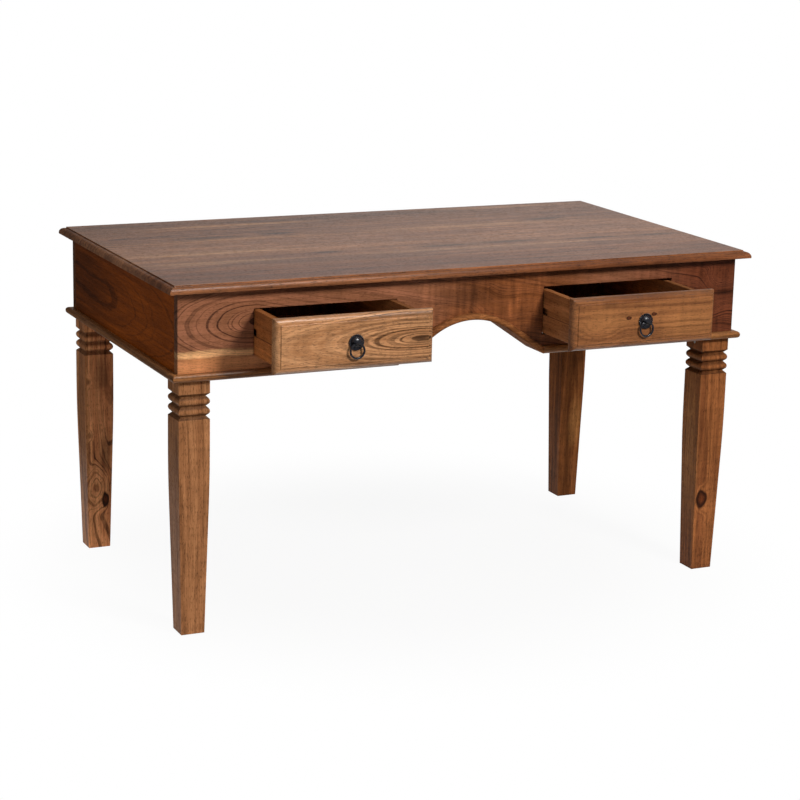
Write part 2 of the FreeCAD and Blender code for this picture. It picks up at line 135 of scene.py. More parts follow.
bpy.ops.mesh.primitive_plane_add(size=2 * paper_half / 1000, location=metres((0, 0, -paper_drop)))
floor = bpy.context.object
floor.name = "studio_paper"
paper, tree, output = new_material("matt_white_paper")
rays = add(tree, "LightPath")
seen = add(tree, "Math", {0: rays["Is Camera Ray"], 1: rays["Is Transmission Ray"]},
           operation="MAXIMUM")[0]
seen = add(tree, "Math", {0: seen, 1: rays["Is Glossy Ray"]}, operation="MAXIMUM")[0]
place = add(tree, "TexCoord")["Object"]
away = add(tree, "VectorMath", {0: place}, operation="LENGTH")["Value"]
clear = add(tree, "MapRange", {0: away, 1: shadow_reach[0] / 1000, 2: shadow_reach[1] / 1000,
                               3: 1 - shadow_depth, 4: 1.0}, interpolation_type="SMOOTHSTEP")[0]
glow_share = add(tree, "Math", {0: seen, 1: clear}, operation="MULTIPLY")[0]
paint = add(tree, "BsdfDiffuse", {"Color": linear("#cfcdca")})[0]
glow = add(tree, "Emission", {"Color": linear("#ffffff"), "Strength": 1.0})[0]
both = add(tree, "MixShader", {0: glow_share, 1: paint, 2: glow})[0]
tree.links.new(both, output.inputs["Surface"])
floor.data.materials.append(paper)
print("paper:", floor.dimensions[:2])

# %% [markdown]
# ## Studio light
#
# A soft box stands in front, a little to the right and above eye level, so the fronts are bright
# and the left end falls into shade. A weak bank overhead lifts the top, and two reflectors give
# the ends and the back some light. A lamp so small and strong would flare white in the lacquer;
# a photographer turns a polarising filter until the flare is gone, and here the soft box and the
# reflectors are left out of mirror reflections. A card high over the front is seen in reflections
# only, and puts the lights on the mouldings and the iron.
#
# To the camera the backdrop is white on every side. Reflections find it white behind the desk and
# above the paper, and elsewhere a dim room, as in a real studio: that keeps the shaded end deep
# in colour. As fill light the room is weak.

# %% Hang the lamps
room_level = 0.20
backdrop_side = (0.45, 0.81, 0.37)
backdrop_edge = (0.93, 1.0)
mirrored_levels = (0.08, 0.92)
lamps = {
    "soft_box": dict(place=(950, -3300, 2600), aim=(0, -300, 500), size=(850, 700), watts=136),
    "highlight_card": dict(place=(100, -2000, 3600), aim=(0, -300, 600), size=(1500, 500), watts=120),
    "overhead_bank": dict(place=(0, -900, 3600), aim=(0, -100, 700), size=(2200, 1600), watts=8),
    "left_reflector": dict(place=(-6000, -3000, 2000), aim=(-600, 0, 500), size=(2400, 2400), watts=56),
    "back_reflector": dict(place=(2400, 3000, 1900), aim=(0, 0, 450), size=(1800, 1500), watts=40),
}
mirrored_only = ("highlight_card",)
mirrored_too = ("overhead_bank",)
for name, lamp in lamps.items():
    light = bpy.data.lights.new(name, "AREA")
    light.shape = "RECTANGLE"
    light.size, light.size_y = [side / 1000 for side in lamp["size"]]
    light.energy = lamp["watts"]
    holder = bpy.data.objects.new(name, light)
    holder.matrix_world = aimed(lamp["place"], lamp["aim"])
    holder.visible_glossy = name in mirrored_only + mirrored_too
    holder.visible_diffuse = name not in mirrored_only
    bpy.context.scene.collection.objects.link(holder)

world = bpy.data.worlds.new("white_studio")
world.use_nodes = True
bpy.context.scene.world = world
tree = world.node_tree
tree.nodes.clear()
rays = add(tree, "LightPath")
seen = add(tree, "Math", {0: rays["Is Camera Ray"], 1: rays["Is Transmission Ray"]},
           operation="MAXIMUM")[0]
heading = add(tree, "TexCoord")["Generated"]
towards = add(tree, "VectorMath", {0: heading, 1: backdrop_side}, operation="DOT_PRODUCT")["Value"]
mirrored = add(tree, "MapRange", {0: towards, 1: backdrop_edge[0], 2: backdrop_edge[1],
                                  3: mirrored_levels[0], 4: mirrored_levels[1]},
               interpolation_type="SMOOTHSTEP")[0]
strength = add(tree, "Mix", {0: rays["Is Glossy Ray"], 2: room_level, 3: mirrored})[0]
strength = add(tree, "Mix", {0: seen, 2: strength, 3: 1.0})[0]
sky = add(tree, "Background", {"Color": linear("#ffffff"), "Strength": strength})[0]
add(tree, "OutputWorld", {"Surface": sky})
print("lamps:", list(lamps), "room level:", room_level)

# %% [markdown]
# ## Timber, as a tree grows it
#
# A board's figure is a cut through the rings of a tree. A picture could be wrapped over each
# board, but it would not meet itself round the edges. Here the rings are worked out in space:
# each board is given the place of its heart, and the distance from it, bent a little by noise,
# says which ring a point lies in. Long grain, end grain and mouldings then agree by themselves.
#
# The rings are stretched along the grain on one side of the heart, which gives nested loops on
# a flat face. On the other side they run on beside the heart, which may lean out of the board.

# %% Draw the rings
GRAIN_TURN = {"X": (0, 0, 0), "Y": (0, 0, -math.pi / 2), "Z": (0, math.pi / 2, 0)}
GRAIN_AXIS = {"X": (1, 0, 0), "Y": (0, 1, 0), "Z": (0, 0, 1)}
drift_scales = ((420, 75, 1.0), (70, 18, 0.26))


def per_millimetre(along, across):
    """Scale for a pattern this long along the grain and this wide across it, in millimetres."""
    return (1 / along, 1 / across, 1 / across)


def ring_distance(tree, spec):
    """The place, the place along the grain and the distance from the heart, in millimetres."""
    place = add(tree, "TexCoord")["Object"]
    apart = add(tree, "VectorMath", {0: place, 1: metres(spec["heart"])}, operation="SUBTRACT")[0]
    grain = add(tree, "Mapping", {"Vector": apart, "Rotation": GRAIN_TURN[spec["grain"]],
                                  "Scale": (1000, 1000, 1000)})[0]
    bent = grain
    for along, across, share in drift_scales:
        slow = add(tree, "VectorMath", {0: grain, 1: per_millimetre(along, across)},
                   operation="MULTIPLY")[0]
        drift = add(tree, "TexNoise", {"Vector": slow, "Scale": 1, "Detail": 1.0})["Color"]
        drift = add(tree, "VectorMath", {0: drift, 1: (0.5, 0.5, 0.5)}, operation="SUBTRACT")[0]
        sway = 2 * share * spec["wander"]
        drift = add(tree, "VectorMath", {0: drift, 1: (sway / spec["stretch"] / 2, sway, sway)},
                    operation="MULTIPLY")[0]
        bent = add(tree, "VectorMath", {0: bent, 1: drift}, operation="ADD")[0]
    along = add(tree, "SeparateXYZ", {0: bent})
    side = add(tree, "Math", {0: along["X"], 1: spec["opens"]}, operation="MULTIPLY")[0]
    ahead = add(tree, "Math", {0: side, 1: 0.0}, operation="MAXIMUM")[0]
    ahead = add(tree, "Math", {0: ahead, 1: spec["stretch"]}, operation="MULTIPLY")[0]
    behind = add(tree, "Math", {0: side, 1: 0.0}, operation="MINIMUM")[0]
    level = add(tree, "Math", {0: behind, 1: -spec["lean"], 2: along["Z"]}, operation="MULTIPLY_ADD")[0]
    flat = add(tree, "CombineXYZ", {"X": ahead, "Y": along["Y"], "Z": level})[0]
    distance = add(tree, "VectorMath", {0: flat}, operation="LENGTH")["Value"]
    return place, grain, distance


print("grain axes:", sorted(GRAIN_AXIS))

# %% [markdown]
# ## Knots, patches and stains
#
# A knot is the foot of a branch. The rings part round it, which adding a soft hump to the ring
# distance does, and its core is dark and dense. A hump without a core gives the flame figure
# of wood that grew close to a branch. Apart from the rings, a board has broad patches where
# the tree laid down more or less colour, and stains of another colour. All are measured as a
# distance from a centre, in shares of a size along each axis, that is made uneven by noise.

# %% Add knots, patches and stains
knot_uneven = 0.3
patch_uneven = 0.7
rim_shares = (1.1, 0.8)
core_shares = (0.75, 0.35)
least_step = 0.001
full_patch_share = 0.2


def share_of_reach(tree, place, centre, size, uneven):
    """Distance from a centre as a share of a size along each axis, roughened by noise."""
    apart = add(tree, "VectorMath", {0: place, 1: metres(centre)}, operation="SUBTRACT")[0]
    apart = add(tree, "VectorMath", {0: apart, 1: [1000 / s for s in size]}, operation="MULTIPLY")[0]
    rough = add(tree, "TexNoise", {"Vector": apart, "Scale": 1.4, "Detail": 2.0})["Color"]
    rough = add(tree, "VectorMath", {0: rough, 1: (0.5, 0.5, 0.5)}, operation="SUBTRACT")[0]
    apart = add(tree, "VectorMath", {0: rough, 1: [uneven] * 3, 2: apart}, operation="MULTIPLY_ADD")[0]
    return add(tree, "VectorMath", {0: apart}, operation="LENGTH")["Value"]


def with_knots(tree, place, distance, spec):
    """The ring distance pushed out round each knot, and how much of a point is knot or its heart."""
    knot = 0.0
    heart = 0.0
    for centre, size, heart_share, swell in spec["knots"]:
        far = share_of_reach(tree, place, centre, size, knot_uneven)
        hump = add(tree, "MapRange", {0: far, 1: 1.0, 2: 0.0, 3: 0.0, 4: swell},
                   interpolation_type="SMOOTHERSTEP")[0]
        distance = add(tree, "Math", {0: distance, 1: hump}, operation="ADD")[0]
        dark = add(tree, "MapRange", {0: far, 1: rim_shares[0] * heart_share + least_step,
                                      2: rim_shares[1] * heart_share},
                   interpolation_type="SMOOTHSTEP")[0]
        knot = add(tree, "Math", {0: knot, 1: dark}, operation="MAXIMUM")[0]
        red = add(tree, "MapRange", {0: far, 1: core_shares[0] * heart_share + least_step,
                                     2: core_shares[1] * heart_share},
                  interpolation_type="SMOOTHSTEP")[0]
        heart = add(tree, "Math", {0: heart, 1: red}, operation="MAXIMUM")[0]
    return distance, knot, heart


def with_patches(tree, place, tone, patches):
    """A tone made lighter or darker in each broad patch."""
    for centre, size, factor in patches:
        far = share_of_reach(tree, place, centre, size, patch_uneven)
        change = add(tree, "MapRange", {0: far, 1: 1.0, 2: full_patch_share, 3: 1.0, 4: factor},
                     interpolation_type="SMOOTHSTEP")[0]
        tone = add(tree, "Math", {0: tone, 1: change}, operation="MULTIPLY")[0]
    return tone


def with_stains(tree, place, colour, stains):
    """A colour drawn towards another one in each broad stain."""
    for centre, size, code, most in stains:
        far = share_of_reach(tree, place, centre, size, patch_uneven)
        share = add(tree, "MapRange", {0: far, 1: 1.0, 2: full_patch_share, 3: 0.0, 4: most},
                    interpolation_type="SMOOTHSTEP")[0]
        colour = add(tree, "Mix", {0: share, 6: colour, 7: linear(code)}, data_type="RGBA")[2]
    return colour


print("a knot is dark up to", rim_shares[0], "and red up to", core_shares[0], "of its core")

# %% [markdown]
# ## Fibres, pores and ripple
#
# Close to, wood is made of long cells. Fibres and pores make short streaks along the grain, and
# wavy fibres catch the light in ripples across it. Real pores are a tenth of a millimetre wide;
# they are drawn about twenty times coarser so that they show at this distance. A picture of pores
# would stretch round the mouldings, so each mark is noise in space, drawn out along the grain.

# %% Draw the fine marks
mark_sizes = {"streaks": (240, 8), "fibres": (40, 2.0), "pores": (8, 2.0), "ripple": (17, 120)}
mark_details = {"streaks": 2.0, "fibres": 3.0, "pores": 1.0, "ripple": 2.0}
mark_edge = (0.3, 0.7)
pore_edge = (0.54, 0.70)


def fine_marks(tree, place, grain, spec):
    """The marks as noise, the pores among them, and the tone that they make together."""
    marks = {}
    for mark, size in mark_sizes.items():
        spread = add(tree, "VectorMath", {0: grain, 1: per_millimetre(*size)}, operation="MULTIPLY")[0]
        marks[mark] = add(tree, "TexNoise", {"Vector": spread, "Scale": 1, "Detail": mark_details[mark],
                                             "Roughness": 0.6})["Fac"]
    pores = add(tree, "MapRange", {0: marks["pores"], 1: pore_edge[0], 2: pore_edge[1]},
                interpolation_type="SMOOTHSTEP")[0]
    tone = 1.0
    strength = {"streaks": 1.0, "fibres": 1.0, "ripple": with_patches(tree, place, 1.0, spec["rippled"])}
    for mark, share in strength.items():
        light = add(tree, "MapRange", {0: marks[mark], 1: mark_edge[0], 2: mark_edge[1],
                                       3: -spec[mark], 4: spec[mark]})[0]
        tone = add(tree, "Math", {0: light, 1: share, 2: tone}, operation="MULTIPLY_ADD")[0]
    tone = add(tree, "Math", {0: pores, 1: -spec["pores"], 2: tone}, operation="MULTIPLY_ADD")[0]
    return marks, pores, tone


print("pores drawn", mark_sizes["pores"], "mm, fibres", mark_sizes["fibres"], "mm")

# %% [markdown]
# ## Bands of colour and strips
#
# Heartwood runs from honey to red brown in bands that follow the rings. A colour ramp could hold
# them, but it would repeat; one-dimensional noise along the ring count never does. The youngest
# wood, under the bark, stays pale: sapwood shows as a strip at its own place across the board.
# A glue line between two boards is such a strip as well, only thin and dark.

# %% Colour the bands
bands_per_ring = 0.45
streak_blur = 0.5
band_edge = (0.03, 0.47)
strip_sway = 60
strip_core_share = 0.4
strip_strength = 0.8


def banded_colour(tree, count, streaks, tones):
    """Pale to ruddy heartwood, in bands along the ring count that the streaks blur."""
    bands = add(tree, "TexNoise", {"W": count, "Scale": bands_per_ring, "Detail": 3.0, "Roughness": 0.6},
                noise_dimensions="1D")["Fac"]
    bands = add(tree, "Math", {0: streaks, 1: -streak_blur, 2: bands}, operation="MULTIPLY_ADD")[0]
    bands = add(tree, "MapRange", {0: bands, 1: band_edge[0], 2: band_edge[1]},
                interpolation_type="SMOOTHSTEP")[0]
    return add(tree, "Mix", {0: bands, 6: linear(tones[0]), 7: linear(tones[1])}, data_type="RGBA")[2]


def with_strips(tree, place, grain, colour, spec):
    """The colour with strips of another one: axis across, middle, half width, where it runs out."""
    for axis, middle, half, start, end, code in spec["strips"]:
        level = add(tree, "VectorMath", {0: place, 1: GRAIN_AXIS[axis]}, operation="DOT_PRODUCT")["Value"]
        level = add(tree, "Math", {0: level, 1: 1000, 2: -middle}, operation="MULTIPLY_ADD")[0]
        sway = add(tree, "TexNoise", {"Vector": grain, "Scale": 1 / strip_sway, "Detail": 2.0})["Fac"]
        level = add(tree, "Math", {0: sway, 1: half, 2: level}, operation="MULTIPLY_ADD")[0]
        level = add(tree, "Math", {0: level, 1: half / 2}, operation="SUBTRACT")[0]
        level = add(tree, "Math", {0: level}, operation="ABSOLUTE")[0]
        strip = add(tree, "MapRange", {0: level, 1: half, 2: strip_core_share * half},
                    interpolation_type="SMOOTHSTEP")[0]
        run = add(tree, "VectorMath", {0: place, 1: GRAIN_AXIS[spec["grain"]]},
                  operation="DOT_PRODUCT")["Value"]
        run = add(tree, "MapRange", {0: run, 1: start / 1000, 2: end / 1000, 3: strip_strength, 4: 0.0},
                  interpolation_type="SMOOTHSTEP")[0]
        strip = add(tree, "Math", {0: strip, 1: run}, operation="MULTIPLY")[0]
        colour = add(tree, "Mix", {0: strip, 6: colour, 7: linear(code)}, data_type="RGBA")[2]
    return colour


print("bands per ring:", bands_per_ring, "strips sway over", strip_sway, "mm")

# %% [markdown]
# ## Dark ring lines
#
# Acacia closes some of its rings with a thin dark line. Evenly spaced lines look printed, so a
# line is drawn wherever an uneven wave along the ring count crosses its middle. Some lines are
# stronger than others, and the fibres break them.

# %% Draw the ring lines
line_core_share = 0.4
strong_per_ring = 0.37
strong_edge = (0.35, 0.6)
faint_share = 0.25
break_edge = (0.35, 0.65)
broken_share = 0.6


def ring_lines(tree, place, count, fibres, spec):
    """How much of a point is dark ring line."""
    wave = add(tree, "TexNoise", {"W": count, "Scale": 1.0, "Detail": 0.0}, noise_dimensions="1D")["Fac"]
    wave = add(tree, "Math", {0: wave, 1: 0.5}, operation="SUBTRACT")[0]
    wave = add(tree, "Math", {0: wave}, operation="ABSOLUTE")[0]
    lines = add(tree, "MapRange", {0: wave, 1: spec["line_width"], 2: line_core_share * spec["line_width"]},
                interpolation_type="SMOOTHSTEP")[0]
    strong = add(tree, "TexNoise", {"W": count, "Scale": strong_per_ring, "Detail": 1.0},
                 noise_dimensions="1D")["Fac"]
    strong = add(tree, "MapRange", {0: strong, 1: strong_edge[0], 2: strong_edge[1],
                                    3: faint_share * spec["lines"], 4: spec["lines"]})[0]
    lines = add(tree, "Math", {0: lines, 1: strong}, operation="MULTIPLY")[0]
    broken = add(tree, "MapRange", {0: fibres, 1: break_edge[0], 2: break_edge[1],
                                    3: 1.0, 4: broken_share})[0]
    lines = add(tree, "Math", {0: lines, 1: broken}, operation="MULTIPLY")[0]
    return with_patches(tree, place, lines, spec["quiet"])


print("faint lines have", faint_share, "of the strength of strong ones")

# %% [markdown]
# ## Ends and arrises
#
# The ends of boards soak up more stain and go darker. The arrises are painted paler: partly the wear
# of handling, partly a painted highlight along them. The end grain is where the face looks along
# the grain. The arrises could be bevelled in the mesh, but the CAD mesh stays as it is: Blender's
# Bevel node gives the rounded normal, and where that differs from the true one there is an arris.

# %% Darken the ends, pale the arrises for wear and a painted highlight
arris_radius = 2.2
# Arrises are made this much paler: wear from handling, and a painted highlight
arris_wear_and_highlight_tone = 1.45
arris_wear_and_highlight_edge = 0.75
end_limits = (0.25, 0.85)


def ends_and_arrises(tree, grain_axis, soak):
    """How far a face is end grain, the tone of soaked ends and of arrises paled for wear and a painted
    highlight, and the eased normal.
    """
    facing = add(tree, "TexCoord")["Normal"]
    endness = add(tree, "VectorMath", {0: facing, 1: GRAIN_AXIS[grain_axis]},
                  operation="DOT_PRODUCT")["Value"]
    endness = add(tree, "Math", {0: endness}, operation="ABSOLUTE")[0]
    soaked = add(tree, "MapRange", {0: endness, 1: end_limits[0], 2: end_limits[1], 3: 1.0, 4: soak})[0]
    eased = add(tree, "Bevel", {"Radius": arris_radius / 1000}, samples=4)[0]
    sharp = add(tree, "NewGeometry")["Normal"]
    edge = add(tree, "VectorMath", {0: eased, 1: sharp}, operation="DOT_PRODUCT")["Value"]
    # Paler along the arrises: wear, and a painted highlight
    arris_wear_and_highlight = add(tree, "MapRange", {0: edge, 1: 1.0, 2: arris_wear_and_highlight_edge, 3: 1.0, 4: arris_wear_and_highlight_tone})[0]
    tone = add(tree, "Math", {0: soaked, 1: arris_wear_and_highlight}, operation="MULTIPLY")[0]
    return endness, tone, eased


print("arrises eased over", arris_radius, "mm")

# %% [markdown]
# ## Acacia under a satin lacquer
#
# Now the parts of the recipe come together. Under the lacquer lie the bands, the ring lines, the
# knots and the fine marks; over them a satin film, of an index of refraction of about 1.5, whose
# gloss the open pores break. A board is described by where its heart lies, how wide its rings
# are and how it was coloured, and everything that is not said comes from a plain board.
#
# In a description, opens is the side of the heart where the loops lie, stretch says how blunt they
# are and lean how far the heart tilts; ring and wander are in millimetres. Soak is the tone of
# the ends, gloss the roughness of the film and shine its strength.

# %% Timber under a satin lacquer
plain_board = dict(grain="X", opens=1, stretch=0.05, lean=0.0, ring=9.0, wander=9.0, knots=(), patches=(),
                   stains=(), quiet=(), rippled=(), strips=(), lines=0.8, line_width=0.12, ripple=0.10,
                   streaks=0.12, fibres=0.14, pores=0.34, soak=0.6, gloss=0.40, shine=0.18)
knot_rim = "#2a140a"
knot_heart = "#552a15"
lacquer_ior = 1.5
gloss_spread = 0.06
pore_dulling = 0.2
end_dulling = 0.15
pore_depth_share = 0.6
relief_strength = 0.4
relief_depth = 0.6


def timber(name, **choices):
    """A lacquered board with its own heart, rings, knots and tones."""
    spec = {**plain_board, **choices}
    material, tree, output = new_material(name)
    place, grain, distance = ring_distance(tree, spec)
    distance, knot, heart = with_knots(tree, place, distance, spec)
    count = add(tree, "Math", {0: distance, 1: spec["ring"]}, operation="DIVIDE")[0]
    marks, pores, tone = fine_marks(tree, place, grain, spec)
    tone = with_patches(tree, place, tone, spec["patches"])

    colour = banded_colour(tree, count, marks["streaks"], spec["tones"])
    colour = with_stains(tree, place, colour, spec["stains"])
    colour = with_strips(tree, place, grain, colour, spec)
    lines = ring_lines(tree, place, count, marks["fibres"], spec)
    colour = add(tree, "Mix", {0: lines, 6: colour, 7: linear(spec["tones"][2])}, data_type="RGBA")[2]
    colour = add(tree, "Mix", {0: knot, 6: colour, 7: linear(knot_rim)}, data_type="RGBA")[2]
    colour = add(tree, "Mix", {0: heart, 6: colour, 7: linear(knot_heart)}, data_type="RGBA")[2]

    # Soaked ends, and arrises paled for wear and as a painted highlight
    endness, soak_wear_and_highlight, eased = ends_and_arrises(tree, spec["grain"], spec["soak"])
    tone = add(tree, "Math", {0: tone, 1: soak_wear_and_highlight}, operation="MULTIPLY")[0]
    colour = add(tree, "VectorMath", {0: colour, "Scale": tone}, operation="SCALE")[0]

    rough = add(tree, "MapRange", {0: marks["fibres"], 1: mark_edge[0], 2: mark_edge[1],
                                   3: spec["gloss"] + gloss_spread, 4: spec["gloss"] - gloss_spread})[0]
    rough = add(tree, "Math", {0: pores, 1: pore_dulling, 2: rough}, operation="MULTIPLY_ADD")[0]
    rough = add(tree, "Math", {0: endness, 1: end_dulling, 2: rough}, operation="MULTIPLY_ADD")[0]
    height = add(tree, "Math", {0: pores, 1: -pore_depth_share, 2: marks["fibres"]},
                 operation="MULTIPLY_ADD")[0]
    relief = add(tree, "Bump", {"Height": height, "Strength": relief_strength,
                                "Distance": relief_depth / 1000, "Normal": eased})[0]
    skin = add(tree, "BsdfPrincipled", {"Base Color": colour, "Roughness": rough, "IOR": lacquer_ior,
                                        "Specular IOR Level": spec["shine"], "Normal": relief})[0]
    tree.links.new(skin, output.inputs["Surface"])
    return material


dressed = set()


def dress(material, *names):
    """Give these nodes a material in place of their plain one."""
    dressed.update(names)
    for name in names:
        slots = nodes[name].data.materials
        slots.clear()
        slots.append(material)
    print(material.name, "on", ", ".join(names))


print("a plain board:", plain_board)

# %% [markdown]
# ## The front apron
#
# On the real desk this is one wide board, sawn close to the heart of the tree. Nested loops open
# from behind the left drawer, a strip of sapwood runs along its lower left edge, and by the
# kneehole the grain ripples round a branch. Such figure could be painted by hand; here each part
# of it is a place in millimetres handed to the timber function, so it can be moved or left out.
#
# A mark on a face is written as its place and size in the plane of that face. What follows is the
# share that is core and the swelling for a knot, a tone for a patch, a colour and its strength for
# a stain. The face itself is read from the model, and a depth says how far in the mark reaches.

# %% Front apron
knot_depth = 60
patch_depth = 80
quiet_depth = 90


def start_of(name, axis):
    """Where a node begins along an axis, in millimetres."""
    return 1000 * min(corner["XYZ".index(axis)] for corner in nodes[name].bound_box)


def on_face(axis, face, depth, marks):
    """Marks written in the plane of a face, with the face and a depth put in along its axis."""
    spot = "XYZ".index(axis)
    return tuple(((*place[:spot], face, *place[spot:]), (*size[:spot], depth, *size[spot:]), *rest)
                 for place, size, *rest in marks)


apron_face = start_of("front_apron", "Y")
apron_knots = (((71, 668), (90, 70), 0, 20), ((640, 690), (80, 60), 0.03, 40),
               ((5, 650), (40, 30), 0, 10), ((590, 630), (90, 60), 0, 30))
# The first patch lightens the apron below the sapwood strip: paler wood there, and painted light over the
# left drawer's shadow
apron_patches = (((-600, 590), (230, 40), 2.2), ((0, 703), (110, 36), 0.6), ((110, 680), (330, 200), 0.75),
                 ((640, 680), (440, 300), 0.55), ((118, 692), (9, 44), 1.45), ((98, 664), (8, 26), 1.4),
                 ((160, 680), (10, 40), 1.3), ((655, 668), (60, 9), 0.45), ((655, 628), (60, 32), 1.35))
apron_stains = (((100, 670), (300, 200), "#84481f", 0.7), ((-600, 590), (240, 36), "#8a5a34", 0.7),
                ((640, 670), (330, 240), "#773a22", 0.8))
apron_ripples = (((60, 680), (260, 220), 4.5), ((560, 690), (220, 200), 4.0))
apron_quiet = (((-60, 690), (390, 220), 0.5), ((330, 735), (300, 60), 0.3),
               ((-600, 590), (240, 36), 0.1), ((-360, 745), (280, 50), 0.35))
# Flat-sawn acacia, planed and lacquered: thin dark loops on orange brown, with a soft gloss
dress(timber("lacquered_acacia_front_apron", heart=(-497, -371, 677), opens=-1, stretch=0.37, lean=0.20,
             ring=8.5, wander=8, tones=("#9a6347", "#825338", "#28110a"), lines=1.0, line_width=0.055,
             ripple=0.09, streaks=0.07, fibres=0.15, strips=(("Z", 614.5, 10.5, -500, -430, "#bf9062"),),
             knots=on_face("Y", apron_face, knot_depth, apron_knots),
             patches=on_face("Y", apron_face, patch_depth, apron_patches),
             stains=on_face("Y", apron_face, patch_depth, apron_stains),
             rippled=on_face("Y", apron_face, patch_depth, apron_ripples),
             quiet=on_face("Y", apron_face, quiet_depth, apron_quiet)), "front_apron")

# %% [markdown]
# ## The ends and the back
#
# The left end of the desk is a single quiet board with a few thin dark lines. It lies in the
# shade, so its tones are deep and red; lightening it with a lamp instead would flatten the whole
# desk. The right end and the back are boards of the same kind.

# %% Side panels and back apron
panel_tones = ("#a4510f", "#803d0b", "#2a1205")
back_tones = ("#965a2e", "#764421", "#34190d")
left_end = start_of("left_side_panel", "X")
# Flat-sawn acacia, planed and lacquered: deep red brown, with a few wide soft loops
dress(timber("lacquered_acacia_left_panel", grain="Y", heart=(left_end, 170, 655), opens=-1, stretch=0.2,
             lean=-0.08, ring=26, wander=22, tones=panel_tones, lines=0.5, line_width=0.035, ripple=0.05,
             # The patch darkens the back half of the panel: painted shade, away from the lamps
             shine=0.04, patches=(((left_end, 330, 690), (80, 420, 240), 0.55),)), "left_side_panel")
# The same sawing and lacquer on paler wood: mid brown, with soft loops
dress(timber("lacquered_acacia_right_panel", grain="Y", heart=(690, 200, 640), stretch=0.2, ring=20,
             wander=18, tones=back_tones, lines=0.5, line_width=0.06), "right_side_panel")
# A narrower figure in the same wood: mid brown, with closer lines
dress(timber("lacquered_acacia_back_apron", heart=(200, 375, 640), stretch=0.2, ring=14, wander=14,
             tones=back_tones, lines=0.6), "back_apron")

# %% [markdown]
# ## The top
#
# The top is glued up from five boards, and no two are from the same tree. The joints are closed
# so well that only the change of figure shows them. Seen at a low angle the lacquer veils the
# colour with a pale sheen, so the boards differ by soft streaks more than by strong lines. Pale
# strips and dark flecks are stains, long and narrow along the grain.

# %% Top boards
top_face = 1000 * cad_box[1][2]
top_knot_depth = 40
top_stain_depth = 60
top_line = 1.6
front_edge_stain = ((380, -400, 750), (600, 36, 60), "#65381f", 0.8)


def top_knots(*marks):
    """Knots in the upper face of the desk."""
    return on_face("Z", top_face, top_knot_depth, marks)


def top_stains(*marks):
    """Stains on the upper face of the desk, and other marks as deep as they are."""
    return on_face("Z", top_face, top_stain_depth, marks)


top_finish = dict(stretch=0.2, wander=18, streaks=0.15, fibres=0.26, pores=0.5, ripple=0.08, gloss=0.33,
                  shine=0.25, soak=1.0, quiet=top_stains(((200, 158), (520, 110), 0.2)))
top_boards = (
    dict(heart=(620, -300, 745), ring=34, lines=0.3, tones=("#965f3b", "#70442a", "#3c2114"),
         knots=top_knots(((-150, -330), (90, 26), 0, 30), ((490, -280), (110, 28), 0, 60)),
         stains=(*top_stains(((-250, -340), (420, 36), "#6b3f28", 0.7),
                             ((420, -300), (300, 30), "#a8734a", 0.35)), front_edge_stain)),
    dict(heart=(420, -190, 735), ring=38, lines=0.35, tones=("#a8734c", "#80533a", "#452817"),
         knots=top_knots(((330, -150), (80, 26), 0.05, 30)),
         stains=top_stains(((-500, -163), (250, 24), "#c9966a", 0.6),
                           ((-330, -120), (300, 22), "#75462e", 0.7),
                           ((180, -160), (520, 18), "#c08f66", 0.6),
                           ((-233, -114), (56, 16), "#2e1a10", 0.7),
                           ((60, -116), (110, 19), "#2e1a10", 0.7),
                           ((220, -110), (140, 19), "#2e1a10", 0.7),
                           ((440, -124), (110, 17), "#3a2216", 0.7),
                           ((610, -126), (110, 17), "#3a2216", 0.7))),
    dict(heart=(-700, 20, 720), ring=38, lines=0.35, tones=("#b27b54", "#885a3e", "#4a2c1a"),
         knots=top_knots(((60, 10), (80, 30), 0.05, 34)),
         stains=top_stains(((-480, -50), (280, 30), "#c8966a", 0.45),
                           ((150, 40), (420, 20), "#7c4c32", 0.7))),
    dict(heart=(-575, 180, 757), ring=14, lines=0.8, tones=("#ab744b", "#835439", "#341b10"),
         knots=top_knots(((420, 160), (90, 30), 0, 20)),
         stains=top_stains(((250, 120), (380, 24), "#c48f63", 0.6),
                           ((-350, 110), (240, 18), "#bd8659", 0.7),
                           ((-420, 140), (120, 24), "#452b1e", 0.7),
                           ((-245, 150), (70, 18), "#3a2216", 0.8),
                           ((460, 155), (90, 20), "#3a2216", 0.8))),
    dict(heart=(300, 330, 730), ring=34, lines=0.35, tones=("#9c6843", "#764c32", "#381f13"),
         stains=top_stains(((-300, 285), (300, 20), "#bd875b", 0.8),
                           ((420, 350), (300, 26), "#b07a51", 0.7))),
)
# Acacia boards sanded flat and lacquered in more coats: quiet grain under a warm grey sheen
for number, board in enumerate(top_boards, start=1):
    side = -1 if board["heart"][0] < 0 else 1
    material = timber(f"lacquered_acacia_top_{number}", opens=side, line_width=top_line / board["ring"],
                      **top_finish, **board)
    dress(material, f"top_board_{number}")

# %% [markdown]
# ## The frame and the arch
#
# Under the aprons runs a frame of thin boards with a rounded nose, and over the kneehole a board
# is sawn to an arch. The frame is of plain pieces with straight grain: their heart lies outside
# them, and with little stretch the rings pass through as nearly straight lines.

# %% Frame boards and arch
frame_tones = ("#a86f40", "#88572f", "#452610")
arch_face = start_of("arched_board", "Y")
# Straight-grained acacia with a rounded nose: golden brown, with a light along the rounding
dress(timber("lacquered_acacia_front_frame", heart=(0, -420, 640), stretch=0.03, ring=8, tones=frame_tones,
             soak=0.8, shine=0.3), "front_left_frame_board", "front_right_frame_board", "back_frame_board")
# The same wood along the ends: golden brown, with less of a light on it
dress(timber("lacquered_acacia_side_frame", grain="Y", heart=(-640, 0, 620), stretch=0.03, ring=8,
             tones=frame_tones), "left_frame_board", "right_frame_board")
